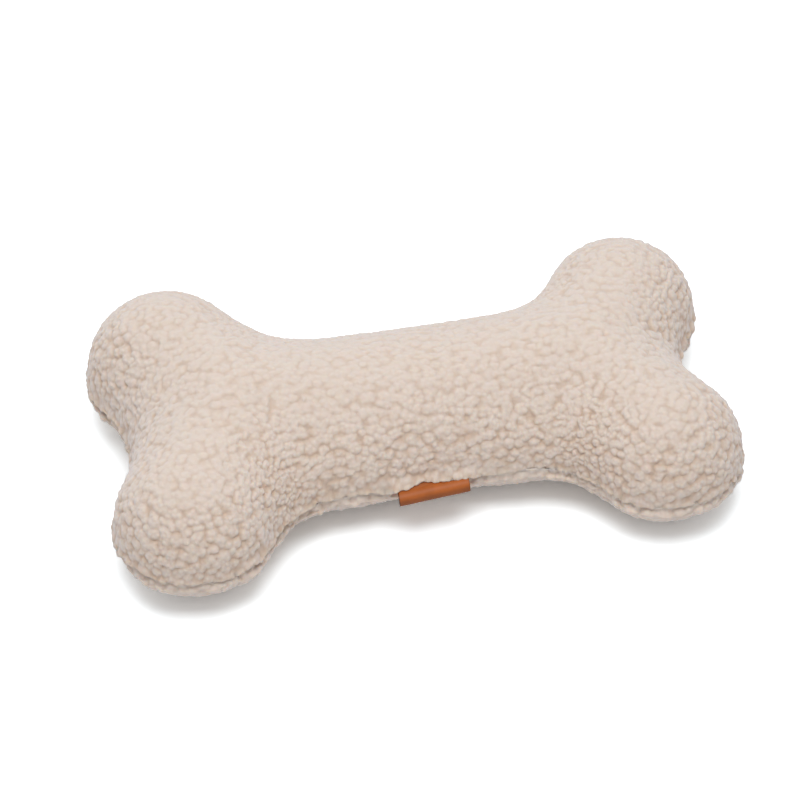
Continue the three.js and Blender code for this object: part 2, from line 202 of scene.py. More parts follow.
# Radius of the circle that closes a turned piece, and the distance within which it is merged
POLE_RADIUS = 0.0000099
POLE_MERGE = 0.00002

# Colour of the floor for the light that it throws back, for the camera near the toy, where it shows
# the shadow, and for the camera far from the toy, where it is plain white
FLOOR_COLOUR = (0.9, 0.9, 0.9)
FLOOR_SEEN = (1.50, 1.58, 1.63)
FLOOR_FAR = (6.0, 6.0, 6.0)
FLOOR_FAR_FROM = 0.22
FLOOR_FAR_AT = 1.2


# Settings that a user would change

def number(name, description, value, **more):
    return FloatProperty(name=name, description=description, default=value, **more)


def length(name, description, metres):
    return number(name, description, metres, unit="LENGTH")


def angle(name, description, degrees):
    return number(name, description, math.radians(degrees), subtype="ANGLE")


def colour(name, description, rgb):
    return FloatVectorProperty(
        name=name, description=description, default=rgb, subtype="COLOR", size=3)


class CoverSettings(bpy.types.PropertyGroup):
    mesh_pitch: length(
        "Mesh pitch", "Side of the faces that the fleece is simulated with", 0.004)
    fleece_thickness: length("Fleece thickness", "Backing and pile together", 0.004)
    allowance: length("Seam allowance", "Width of the edge turned in at the seam", 0.0065)
    seam_tuck: length("Seam tuck", "How far the seam is pulled in from the outline", 0.0008)
    pressure: number(
        "Stuffing pressure", "Pressure that swells the cover in the simulation", 20.0)
    spare_cloth: number(
        "Spare cloth", "How much longer the fleece is cut than the slack form", 0.006,
        subtype="FACTOR")
    slack: length("Slack", "How far inside its full form the cover starts", 0.0003)
    flatness: number(
        "Flatness", "How much flatter the cover is before it is filled", 0.075, subtype="FACTOR")
    swell_cap: length("Swell cap", "The furthest that the simulation moves a point", 0.003)
    tuft_height: length(
        "Tuft height", "Height of the curls of the pile over the gaps between them", 0.00095)
    tuft_length: length("Tuft length", "Half of the length that the longest curls add", 0.0022)
    knot_height: length("Knot height", "Height of the small knots on the curls", 0.00035)
    tuft_colour: colour("Tuft colour", "Colour of the tops of the curls", (0.74, 0.643, 0.571))
    # Painted shade: the darker colour mixed in deep between the curls, along the seam crease and in
    # the crushed corners
    gap_shade_colour: colour("Gap colour", "Colour deep between the curls", (0.64, 0.495, 0.390))
    seed: IntProperty(name="Seed", description="Seed of the curls' places", default=7)


class FillingSettings(bpy.types.PropertyGroup):
    mesh_pitch: length("Mesh pitch", "Side of the faces that the wads are remeshed with", 0.0035)
    clearance: length("Clearance", "How far the wads keep inside their solids", 0.0005)
    lump_size: length("Lump size", "Size of the lumps in the fibre", 0.012)
    lump_height: length("Lump height", "Height of the lumps in the fibre", 0.0014)
    fibre_colour: colour("Fibre colour", "Colour of the fibre", (0.84, 0.82, 0.79))


class TabSettings(bpy.types.PropertyGroup):
    thickness: length("Thickness", "Thickness of the leather", 0.0011)
    fold_radius: length("Fold radius", "Outer radius of the fold at the free edge", 0.00135)
    bow: length("Bow", "How far the upper ply bows out", 0.0011)
    skew: number("Skew", "How askew the strip is sewn, as a slope", 0.06)
    lift: number("Lift", "How much one end stands higher, as a slope", 0.038)
    droop: angle("Droop", "How far the tab hangs below level", 30.0)
    leather_colour: colour("Leather colour", "Colour of the leather", (0.44, 0.112, 0.016))
    # Also the colour of the painted shade under the fleece and of the darker fold
    edge_and_shade_colour: colour("Edge colour", "Colour of the cut ends", (0.06, 0.022, 0.010))


class SqueakerSettings(bpy.types.PropertyGroup):
    wall: length("Wall", "Thickness of the bulb's wall", 0.0009)
    fold_depth: length("Fold depth", "Depth of the folds", 0.0032)
    folds: IntProperty(name="Folds", description="Number of folds", default=3)
    neck_height: length("Neck height", "Height of the neck", 0.003)
    bulb_colour: colour("Bulb colour", "Colour of the soft bulb", (0.82, 0.82, 0.78))
    plug_colour: colour("Plug colour", "Colour of the hard plug", (0.66, 0.70, 0.74))
    reed_colour: colour("Reed colour", "Colour of the reed", (0.56, 0.42, 0.17))


class StageSettings(bpy.types.PropertyGroup):
    azimuth: angle("Camera azimuth", "Direction of the camera round the toy", -10.229)
    elevation: angle("Camera elevation", "Height of the camera above the horizon", 45.328)
    roll: angle("Camera roll", "Turn of the camera about its own axis", -0.7785)
    aim: FloatVectorProperty(
        name="Aim", description="Point in the middle of the picture",
        default=(-0.003334, 0.01631, 0.020), subtype="TRANSLATION", size=3)
    distance: length("Camera distance", "Distance from the camera to the aim", 1.32867)
    key_power: number("Key lamp", "Power of the lamp above the toy", 14.6, unit="POWER")
    back_power: number("Back lamp", "Power of the lamp behind the toy", 4.5, unit="POWER")
    world_light: number("Light from all round", "Strength of the studio's even light", 0.38)
    lens: number("Lens", "Focal length on a 36 mm sensor, in millimetres", 123.14)


# Small tools that the operators share

def deselect():
    if bpy.context.mode != "OBJECT":
        bpy.ops.object.mode_set(mode="OBJECT")
    bpy.ops.object.select_all(action="DESELECT")


def activate(obj):
    deselect()
    obj.select_set(True)
    bpy.context.view_layer.objects.active = obj


def edit(obj, action, kind="VERT"):
    """Opens a piece in edit mode, with all or none of its points, edges or faces selected."""
    activate(obj)
    bpy.ops.object.mode_set(mode="EDIT")
    bpy.ops.mesh.select_mode(type=kind)
    bpy.ops.mesh.select_all(action=action)


def leave():
    """Goes back to object mode."""
    bpy.ops.object.mode_set(mode="OBJECT")


def pick(obj, kind, chosen):
    """Opens a piece in edit mode, with only the chosen ones of its edges or faces selected."""
    edit(obj, "DESELECT", kind)
    leave()
    parts = obj.data.polygons if kind == "FACE" else obj.data.edges
    parts.foreach_set("select", np.asarray(chosen, bool))
    bpy.ops.object.mode_set(mode="EDIT")


def copy_of(node, name):
    """A loose copy of a CAD node, with its doubles merged."""
    obj = bpy.data.objects.new(name, bpy.data.objects[node].data.copy())
    bpy.context.scene.collection.objects.link(obj)
    obj.data.materials.clear()
    edit(obj, "SELECT")
    bpy.ops.mesh.remove_doubles(threshold=1e-5)
    leave()
    return obj


def modify(obj, kind, **settings):
    """Adds a modifier with these settings and applies it."""
    activate(obj)
    modifier = obj.modifiers.new(kind.title(), kind)
    for key, value in settings.items():
        setattr(modifier, key, value)
    bpy.ops.object.modifier_apply(modifier=modifier.name)


def read(parts, key, width=1, kind=np.int32):
    """One property of all the points, edges, faces or corners of a mesh, a row for each."""
    values = np.empty(len(parts) * width, kind)
    parts.foreach_get(key, values)
    return values.reshape(-1, width) if width > 1 else values


def points(obj):
    return read(obj.data.vertices, "co", 3, np.float32).astype(float)


def normals(obj):
    return read(obj.data.vertex_normals, "vector", 3, np.float32).astype(float)


def place(obj, co):
    obj.data.vertices.foreach_set("co", np.asarray(co, np.float32).ravel())
    obj.data.update()


def edges_of(obj):
    return read(obj.data.edges, "vertices", 2)


def note(obj, name, values):
    """Writes a number for each point into the mesh, for its material to read."""
    layer = obj.data.attributes.new(name, "FLOAT", "POINT")
    layer.data.foreach_set("value", values.astype(np.float32))


def flat_normals(n):
    """Normals laid flat, so that they point out of the outline."""
    flat = n.copy()
    flat[:, 2] = 0.0
    return flat / np.maximum(np.linalg.norm(flat, axis=1), 1e-9)[:, None]


def smoothstep(low, high, value):
    t = np.clip((value - low) / (high - low), 0.0, 1.0)
    return t * t * (3.0 - 2.0 * t)


def unit(v):
    return v / np.maximum(np.linalg.norm(v, axis=1), 1e-9)[:, None]


def tangent(v, n):
    """The part of each vector that lies in the surface, at unit length."""
    return unit(v - n * (v * n).sum(axis=1)[:, None])


def wander(p, rng, wavelength, waves):
    """A smooth random vector field, about -1 to 1, as a sum of waves in random directions."""
    total = np.zeros_like(p)
    for axis in range(3):
        for _ in range(waves):
            way = unit(rng.normal(0.0, 1.0, (1, 3)))[0] / (wavelength * rng.uniform(0.7, 1.4))
            total[:, axis] += np.sin(p @ way * 2.0 * math.pi + rng.uniform(0.0, 6.3))
    return total / math.sqrt(waves)


# Fleece covers

def outer_skin(node, name, upward):
    """The outside of a panel: the faces that join smoothly to its highest or lowest face."""
    obj = copy_of(node, name)
    heights = [face.center.z for face in obj.data.polygons]
    extreme = heights.index(max(heights) if upward else min(heights))
    pick(obj, "FACE", np.arange(len(heights)) == extreme)
    bpy.ops.mesh.faces_select_linked_flat(sharpness=math.radians(SKIN_SHARPNESS))
    bpy.ops.mesh.select_all(action="INVERT")
    bpy.ops.mesh.delete(type="FACE")
    leave()
    return obj


def stuffed_form(pitch):
    """Both outer skins, joined at the seam and remeshed evenly."""
    upper = outer_skin("upper_panel", "stuffed_form", True)
    lower = outer_skin("lower_panel", "lower_skin", False)
    deselect()
    upper.select_set(True)
    lower.select_set(True)
    bpy.context.view_layer.objects.active = upper
    bpy.ops.object.join()
    edit(upper, "DESELECT", "EDGE")
    bpy.ops.mesh.select_non_manifold(
        extend=False, use_wire=False, use_multi_face=False, use_non_contiguous=False,
        use_verts=False)
    bpy.ops.mesh.bridge_edge_loops()
    bpy.ops.mesh.select_all(action="SELECT")
    bpy.ops.mesh.normals_make_consistent(inside=False)
    leave()
    modify(upper, "REMESH", mode="VOXEL", voxel_size=pitch)
    modify(upper, "SMOOTH", factor=0.5, iterations=6)
    return upper


def let_slack(obj, amount, flatness):
    """Brings the cover back to how it lies before it is filled: a little inside and flatter."""
    co = points(obj) - normals(obj) * amount
    co[:, 2] -= np.maximum(co[:, 2] - SEAM_HEIGHT, 0.0) * flatness
    co[:, 2] = np.maximum(co[:, 2], 0.0)
    place(obj, co)


def pull_seam_in(obj, depth):
    """Snaps the row of points nearest to the seam onto it, and pulls the seam in."""
    co = points(obj)
    out = flat_normals(normals(obj))
    away = np.abs(co[:, 2] - SEAM_HEIGHT)
    row = away < SEAM_ROW
    co[row, 2] = SEAM_HEIGHT
    away[row] = 0.0
    steep = smoothstep(0.35, 0.8, np.abs(normals(obj)[:, :2]).max(axis=1))
    pull = depth * np.exp(-(away / SEAM_PULL_REACH) ** 2) * steep
    place(obj, co - out * pull[:, None])
    return row


def swell(obj, cover, row):
    """Cloth simulation of the stuffed cover, held at the seam and where it rests."""
    start = points(obj)
    resting = start[:, 2] < RESTING_HEIGHT
    group = obj.vertex_groups.new(name="sewn")
    group.add([int(i) for i in np.flatnonzero(row | resting)], 1.0, "REPLACE")
    activate(obj)
    modifier = obj.modifiers.new("Cloth", "CLOTH")
    cloth = modifier.settings
    cloth.quality = 6
    cloth.mass = 0.003
    cloth.tension_stiffness = 5.0
    cloth.compression_stiffness = 5.0
    cloth.shear_stiffness = 2.5
    cloth.bending_stiffness = 1.0
    cloth.shrink_min = -cover.spare_cloth
    cloth.use_pressure = True
    cloth.uniform_pressure_force = cover.pressure
    cloth.vertex_group_mass = group.name
    cloth.effector_weights.gravity = 0.0
    modifier.collision_settings.use_collision = False
    scene = bpy.context.scene
    scene.frame_start = 1
    scene.frame_end = CLOTH_FRAMES
    modifier.point_cache.frame_start = 1
    modifier.point_cache.frame_end = CLOTH_FRAMES
    for number in range(1, CLOTH_FRAMES + 1):
        scene.frame_set(number)
    bpy.ops.object.modifier_apply(modifier=modifier.name)
    scene.frame_set(1)
    obj.vertex_groups.clear()
    end = points(obj)
    moved = end - start
    far = np.linalg.norm(moved, axis=1)
    keep = np.minimum(1.0, cover.swell_cap / np.maximum(far, 1e-9))
    place(obj, start + moved * keep[:, None])


def stuff_by_hand(obj):
    """Moves and swells each lobe a little, because no two are stuffed alike."""
    co = points(obj)
    for (side_x, side_y), (shift_x, shift_y, swelling) in LOBE_STUFFING.items():
        middle = np.array([side_x * LOBE_X, side_y * LOBE_Y])
        from_middle = co[:, :2] - middle
        away = np.linalg.norm(from_middle, axis=1)
        share = 1.0 - smoothstep(LOBE_FULL_REACH, LOBE_REACH, away)
        co[:, :2] += share[:, None] * (np.array([shift_x, shift_y]) + from_middle * swelling)
        above = np.maximum(co[:, 2] - SEAM_HEIGHT, 0.0)
        co[:, 2] += share * above * swelling * LOBE_RISE
    for side_x, push in NOTCH_STUFFING.items():
        share = smoothstep(NOTCH_FROM_X, NOTCH_FULL_X, co[:, 0] * side_x)
        share *= 1.0 - smoothstep(NOTCH_FULL_Y, NOTCH_TO_Y, np.abs(co[:, 1]))
        co[:, 0] += side_x * push * share
    for middle_x, width, push in FRONT_BULGES:
        share = np.exp(-((co[:, 0] - middle_x) / width) ** 2)
        co[:, 1] -= push * share * smoothstep(BULGE_FROM_Y, BULGE_FULL_Y, -co[:, 1])
    place(obj, co)


def half_of(form, name, upward):
    """The half of the stuffed form above or below the seam, its edge at the panel's edge."""
    obj = form.copy()
    obj.data = form.data.copy()
    obj.name = name
    bpy.context.scene.collection.objects.link(obj)
    edit(obj, "SELECT")
    bpy.ops.mesh.bisect(
        plane_co=(0, 0, SEAM_HEIGHT), plane_no=(0, 0, 1), use_fill=False,
        clear_inner=upward, clear_outer=not upward, threshold=0.0002)
    bpy.ops.mesh.select_all(action="SELECT")
    bpy.ops.mesh.remove_doubles(threshold=SEAM_MERGE)
    leave()
    co = points(obj)
    co[boundary_points(obj), 2] = UPPER_EDGE if upward else LOWER_EDGE
    place(obj, co)
    return obj


def boundary_points(obj):
    """Points on open edges."""
    faces = np.bincount(read(obj.data.loops, "edge_index"), minlength=len(obj.data.edges))
    return np.unique(edges_of(obj)[faces == 1])


def line_cover(obj, cover, upward):
    """Gives the skin a lining and a turned-in seam allowance, and closes it all round."""
    side = 1.0 if upward else -1.0
    edge_height = UPPER_EDGE if upward else LOWER_EDGE
    lining_height = edge_height + side * ALLOWANCE_THICKNESS
    flat = flat_normals(normals(obj))
    mesh = bmesh.new()
    mesh.from_mesh(obj.data)
    mesh.verts.ensure_lookup_table()
    pile = mesh.faces.layers.int.new(PILE_FACES)
    skin = list(mesh.faces)
    for face in skin:
        face[pile] = 1
    lining = []
    for vert in list(mesh.verts):
        inside = vert.co - vert.normal * cover.fleece_thickness
        inside.z = max(inside.z, lining_height) if upward else min(inside.z, lining_height)
        lining.append(mesh.verts.new(inside))
    rim = [edge for edge in mesh.edges if edge.is_boundary]
    hem = {}
    for vert in {v for edge in rim for v in edge.verts}:
        inward = Vector(flat[vert.index]) * cover.allowance
        low = Vector((vert.co.x - inward.x, vert.co.y - inward.y, edge_height))
        high = Vector((low.x, low.y, lining_height))
        hem[vert] = (mesh.verts.new(low), mesh.verts.new(high))
    for edge in rim:
        first = next(loop for loop in edge.link_loops)
        a, b = first.vert, first.link_loop_next.vert
        rows = [[a, *hem[a], lining[a.index]], [b, *hem[b], lining[b.index]]]
        for step in range(3):
            mesh.faces.new((rows[1][step], rows[0][step], rows[0][step + 1], rows[1][step + 1]))
    for face in skin:
        mesh.faces.new([lining[v.index] for v in reversed(face.verts)])
    mesh.to_mesh(obj.data)
    mesh.free()


def face_marks(obj):
    """Mask of the faces that carry the pile."""
    return read(obj.data.attributes[PILE_FACES].data, "value") == 1


def marked_points(obj, faces):
    """Mask of the points that only marked faces use, and mask of those that any uses."""
    count = len(obj.data.vertices)
    corners = read(obj.data.loops, "vertex_index")
    of_face = np.repeat(faces, read(obj.data.polygons, "loop_total"))
    total = np.bincount(corners, minlength=count)
    marked = np.bincount(corners[of_face], minlength=count)
    return (marked == total) & (marked > 0), marked > 0


def refine_pile(obj, cuts):
    """Rounds the whole cover once, then cuts the faces that carry the pile finer."""
    modify(obj, "SUBSURF", levels=1, render_levels=1)
    pick(obj, "FACE", face_marks(obj))
    bpy.ops.mesh.subdivide(number_cuts=cuts)
    leave()


def relax(obj, mask, rounds):
    """Evens out these points towards the mean of their neighbours."""
    edges = edges_of(obj)
    co = points(obj)
    both = np.concatenate([edges, edges[:, ::-1]])
    both = both[mask[both[:, 0]]]
    count = np.bincount(both[:, 0], minlength=len(co)).astype(float)
    count[count == 0] = 1.0
    for _ in range(rounds):
        mean = np.stack([
            np.bincount(both[:, 0], weights=co[both[:, 1], axis], minlength=len(co))
            for axis in range(3)], axis=1) / count[:, None]
        co[mask] = co[mask] * 0.4 + mean[mask] * 0.6
    place(obj, co)


def spread(co, spacing):
    """Picks points so that each keeps its own spacing from the others."""
    reach = spacing.max()
    cells = {}
    kept = []
    keys = np.floor(co / reach).astype(int)
    for i, (p, gap, key) in enumerate(zip(co.tolist(), spacing.tolist(), keys.tolist())):
        near = (
            (co[j], spacing[j])
            for dx in (-1, 0, 1) for dy in (-1, 0, 1) for dz in (-1, 0, 1)
            for j in cells.get((key[0] + dx, key[1] + dy, key[2] + dz), ()))
        if all(
                (p[0] - q[0]) ** 2 + (p[1] - q[1]) ** 2 + (p[2] - q[2]) ** 2
                >= ((gap + other) * 0.5) ** 2
                for q, other in near):
            cells.setdefault(tuple(key), []).append(i)
            kept.append(i)
    return np.array(kept, int)


def near_necks(p):
    """1 in the four creased corners between shaft and lobes, falling to 0 around them."""
    gap = np.hypot(np.abs(p[:, 0]) - NECK_X, np.abs(p[:, 1]) - NECK_Y)
    return np.exp(-(gap / NECK_REACH) ** 2)


def blobs(p, up, rng, low, high, longest, scatter, lay_share, warp):
    """Covers the points with blobs that run softly into each other, and returns their height."""
    picked = rng.permutation(len(p))[:int(TRIES * len(p) * (PILE_PITCH / low) ** 2)]
    spacing = rng.uniform(low, high, len(picked)) * (1.0 - CRUSH * near_necks(p[picked]))
    kept = spread(p[picked], spacing)
    centre, facing, spacing = p[picked][kept], up[picked][kept], spacing[kept]
    middle = np.stack([np.sign(centre[:, 0]) * LOBE_X, np.sign(centre[:, 1]) * LOBE_Y], axis=1)
    along = np.zeros_like(centre)
    along[:, 0] = middle[:, 1] - centre[:, 1]
    along[:, 1] = centre[:, 0] - middle[:, 0]
    on_lobe = smoothstep(ROUND_FROM_X, ROUND_FULL_X, np.abs(centre[:, 0]))
    along = unit(along) * on_lobe[:, None]
    along[:, 0] += 1.0 - on_lobe
    along = tangent(along + rng.normal(0.0, scatter, along.shape), facing)
    # The tips of the curls lie down the slope and a little to the front
    lay = tangent(np.array([[0.0, -0.45, -1.0]]) + rng.normal(0.0, 0.35, along.shape), facing)
    high_up = smoothstep(0.3, 0.9, np.abs(facing[:, 2]))
    half = rng.uniform(0.0, longest, len(centre)) * (0.3 + 0.7 * high_up)
    height = rng.uniform(0.65, 1.15, len(centre)) * (0.5 + 0.5 * spacing / high)
    radius = spacing * OVERLAP

    tree = KDTree(len(centre))
    for i, c in enumerate(centre):
        tree.insert(c, i)
    tree.balance()
    near = np.array([[hit[1] for hit in tree.find_n(q, NEIGHBOURS)] for q in p])
    bent = p + wander(p, rng, low * 1.4, 6) * low * warp
    apart = bent[:, None, :] - centre[near]
    downhill = np.clip((apart * lay[near]).sum(axis=2) / radius[near], -1.2, 1.2)
    run = np.clip((apart * along[near]).sum(axis=2), -half[near], half[near])
    apart = apart - along[near] * run[:, :, None]
    reach = np.linalg.norm(apart, axis=2) / radius[near]
    rise = height[near] * (1.0 - np.minimum(reach, 1.6) ** 2) * (1.0 + lay_share * downhill)
    rounded = SOFTNESS * np.log(np.exp(rise / SOFTNESS).sum(axis=1))
    return np.clip(rounded, -0.5, 1.4)


def along_outline(p, rng, wavelength, waves):
    """A slow random wave that runs round the toy, about -1 to 1."""
    return wander(p * np.array([1.0, 1.0, 0.0]), rng, wavelength, waves)[:, 0]


def roll_edge(obj, pile, upward, rng):
    """Rolls the edge of a cover out along the seam, the upper one down over the lower one, and
    returns how far the points lay from the edge."""
    co = points(obj)
    p, flat = co[pile], flat_normals(normals(obj)[pile])
    from_edge = np.abs(p[:, 2] - (UPPER_EDGE if upward else LOWER_EDGE))
    wave = along_outline(p, rng, LIP_WAVELENGTH, 5) + along_outline(p, rng, LIP_RIPPLE, 5) * 0.5
    from_tab = np.abs(p[:, 0] - TAB_X)
    at_tab = (p[:, 1] < 0.0) * (1.0 - smoothstep(FRINGE_FULL_X, FRINGE_TO_X, from_tab))
    lifts = sum(far * np.exp(-((p[:, 0] - x) / width) ** 2) for x, width, far in FRONT_LIFTS)
    lifts = np.minimum(lifts, FULL_LIFT) * smoothstep(LIFT_FROM_Y, LIFT_FULL_Y, -p[:, 1])
    risen = lifts / FULL_LIFT * (1.0 - at_tab)
    if upward:
        roll = smoothstep(0.0, ROLL_EDGE, from_edge)
        roll *= 1.0 - smoothstep(ROLL_EDGE, ROLL_REACH, from_edge)
        drop = LIP_DROP - lifts + LIP_WAVE * wave * (1.0 - 0.6 * risen)
        p[:, 2] -= roll * drop * (1.0 - 0.8 * at_tab)
        out = LIP_OVERHANG * (1.0 - 0.8 * risen) + at_tab * (TAB_FRINGE + LIP_WAVE * wave)
        p += flat * (roll ** 2 * out)[:, None]
    else:
        roll = smoothstep(LOWER_ROLL_FROM, LOWER_ROLL_AT, from_edge)
        roll *= 1.0 - smoothstep(LOWER_ROLL_AT, LOWER_ROLL_TO, from_edge)
        at_edge = 1.0 - smoothstep(0.0, LOWER_ROLL_FROM, from_edge)
        lifted = smoothstep(0.0, LOWER_RISE_AT, from_edge)
        lifted *= 1.0 - smoothstep(LOWER_RISE_AT, LOWER_ROLL_TO, from_edge)
        out = roll * (LOWER_ROLL_OUT + LIP_WAVE * wave * 0.6) + at_edge * LOWER_EDGE_OUT
        out += lifted * risen * LOWER_EDGE_OUT
        p += flat * out[:, None]
        p[:, 2] += lifted * risen * LOWER_RISE
    co[pile] = p
    place(obj, co)
    return from_edge


def grow_pile(obj, cover, upward, rng):
    """Raises the pile, soft curls with finer knots on them, and notes how deep in a gap each point
    lies, which the fleece's colour follows as painted shade."""
    inner, any_pile = marked_points(obj, face_marks(obj))
    relax(obj, inner, 6)
    pile = np.flatnonzero(any_pile)
    from_edge = roll_edge(obj, pile, upward, rng)
    co = points(obj)
    p, up = co[pile], normals(obj)[pile]

    curl = blobs(p, up, rng, TUFT_SPACING_LOW, TUFT_SPACING_HIGH, cover.tuft_length,
                 TUFT_SCATTER, TUFT_LAY, TUFT_WARP)
    knot = blobs(p, up, rng, KNOT_SPACING_LOW, KNOT_SPACING_HIGH, KNOT_LENGTH,
                 KNOT_SCATTER, KNOT_LAY, KNOT_WARP)
    crushed = near_necks(p)
    flat_top = smoothstep(0.75, 1.0, np.abs(up[:, 2]))
    steep = 1.0 - smoothstep(0.1, 0.6, np.abs(up[:, 2]))
    back_facing = smoothstep(0.0, 0.6, up[:, 1])
    # The pile is lower on the top and on the steep sides, and stands up in the crushed corners
    full = 1.1 - 0.55 * flat_top - 0.3 * steep + 0.15 * crushed
    full *= 1.0 - BACK_FLAT_AND_LIGHT_SHARE * back_facing
    if not upward:
        full *= 1.1
    raised = (curl - 0.5) * cover.tuft_height * full
    raised += (knot - 0.5) * cover.knot_height * (1.0 - 0.5 * flat_top)
    grown = smoothstep(0.0, GROWTH_REACH, from_edge)
    co[pile] = p + up * (raised * grown)[:, None]
    co[:, 2] = np.maximum(co[:, 2], 0.0)
    place(obj, co)

    # Painted shade: the gaps between the curls, the crease at the seam and the crushed corners are
    # coloured darker, less so on the top, on the back slopes and under the toy
    low = 1.0 - smoothstep(-0.2, 0.7, curl)
    knot_shade = 1.0 - smoothstep(0.0, 0.7, knot)
    crease_shade = np.exp(-(from_edge / CREASE_SHADE_REACH) ** 2)
    curl_shade = (0.8 * low + 0.2 * knot_shade) * (1.0 - 0.4 * flat_top)
    # The painted shade in the gaps is lighter on the back slopes
    curl_shade *= 1.0 - BACK_FLAT_AND_LIGHT_SHARE * back_facing
    if not upward:
        curl_shade *= 0.4
        crease_shade *= 0.4
    depth = np.zeros(len(co))
    depth[pile] = np.clip(curl_shade + 0.7 * crease_shade + 0.25 * crushed * low, 0.0, 1.0)
    note(obj, "gap", depth)


def smooth_shade(obj):
    activate(obj)
    bpy.ops.object.shade_smooth()


class PLUSH_OT_covers(bpy.types.Operator):
    """Stuffs and sews the two fleece panels"""
    bl_idname = "plush.covers"
    bl_label = "Fleece covers"

    def execute(self, context):
        cover = context.scene.plush_covers
        form = stuffed_form(cover.mesh_pitch)
        let_slack(form, cover.slack, cover.flatness)
        row = pull_seam_in(form, cover.seam_tuck - cover.slack)
        swell(form, cover, row)
        stuff_by_hand(form)
        fleece = fleece_material(cover)
        for name, upward, cuts in (("upper_cover", True, 3), ("lower_cover", False, 2)):
            rng = np.random.default_rng(cover.seed + int(upward))
            obj = half_of(form, name, upward)
            line_cover(obj, cover, upward)
            refine_pile(obj, cuts)
            grow_pile(obj, cover, upward, rng)
            smooth_shade(obj)
            obj.data.materials.append(fleece)
            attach(obj, "toy")
            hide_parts(name.replace("cover", "panel"))
        bpy.data.objects.remove(form)
        return {"FINISHED"}


# Filling

class PLUSH_OT_filling(bpy.types.Operator):
    """Fills the covers with six wads of loose fibre"""
    bl_idname = "plush.filling"
    bl_label = "Fibre filling"

    def execute(self, context):
        filling = context.scene.plush_filling
        fibre = fibre_material(filling)
        lumps = bpy.data.textures.new("fibre_lumps", "CLOUDS")
        lumps.noise_scale = filling.lump_size
        lumps.noise_depth = 3
        strands = bpy.data.textures.new("fibre_strands", "CLOUDS")
        strands.noise_scale = filling.lump_size / 5.0
        strands.noise_depth = 2
        for node in sorted(n for n in frame["nodes"] if n.startswith("fill_")):
            wad = copy_of(node, node.replace("fill", "wad"))
            modify(wad, "REMESH", mode="VOXEL", voxel_size=filling.mesh_pitch)
            modify(wad, "SMOOTH", factor=0.5, iterations=5)
            modify(wad, "SUBSURF", levels=1, render_levels=1)
            modify(wad, "DISPLACE", strength=-filling.clearance, mid_level=0.0)
            modify(wad, "DISPLACE", texture=lumps, strength=filling.lump_height,
                   mid_level=0.75, texture_coords="LOCAL")
            modify(wad, "DISPLACE", texture=strands, strength=filling.lump_height * 0.4,
                   mid_level=0.75, texture_coords="LOCAL")
            smooth_shade(wad)
            wad.data.materials.append(fibre)
            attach(wad, "toy")
            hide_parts(node)
        return {"FINISHED"}


# Leather tab

def tab_hinge():
    return Vector(next(j["pos_m"] for j in frame["joints"] if j["name"] == "tab_flip"))


def tab_path(tab):
    """Side view of the strip's middle line: out along the seam, over the bend, round the fold and
    back under itself."""
    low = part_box("tab_flap")[0]
    hinge = tab_hinge() * Vector((0.0, 1.0, 1.0))
    ply = tab.thickness / 2.0
    out = Vector((0.0, -math.cos(tab.droop), -math.sin(tab.droop)))
    over = Vector((0.0, -math.sin(tab.droop), math.cos(tab.droop)))
    fold_centre = hinge + out * ((hinge.y - low.y - tab.fold_radius) / math.cos(tab.droop))
    root_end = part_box("tab_root")[1].y
    bend_start = hinge.y + TAB_BEND
    upper = []
    for i in range(6):
        y = root_end + (bend_start - root_end) * i / 5.0
        upper.append(Vector((0.0, y, hinge.z + ply)))
    last = upper[-1]
    flap_start = hinge + out * TAB_BEND + over * ply
    for t in (0.35, 0.7):
        bent = last.lerp(flap_start, t)
        upper.append(bent + Vector((0.0, -TAB_ROUNDING, TAB_ROUNDING)))
    upper.append(flap_start)
    radius = tab.fold_radius - ply
    swell_start = fold_centre + over * radius
    for i in range(1, 6):
        bow = over * tab.bow * math.sin(math.pi * i / 5.0)
        upper.append(flap_start.lerp(swell_start, i / 5.0) + bow)
    fold = []
    for i in range(1, 9):
        turn = math.pi * i / 9.0
        fold.append(fold_centre + over * radius * math.cos(turn) + out * radius * math.sin(turn))
    lower_flap_start = hinge + out * TAB_BEND - over * ply
    lower = [(fold_centre - over * radius).lerp(lower_flap_start, i / 5.0) for i in range(6)]
    back = Vector((0.0, bend_start, hinge.z - ply))
    lower.append(lower_flap_start.lerp(back, 0.5))
    for i in range(6):
        y = bend_start + (root_end - bend_start) * i / 5.0
        lower.append(Vector((0.0, y, hinge.z - ply)))
    return upper + fold + lower


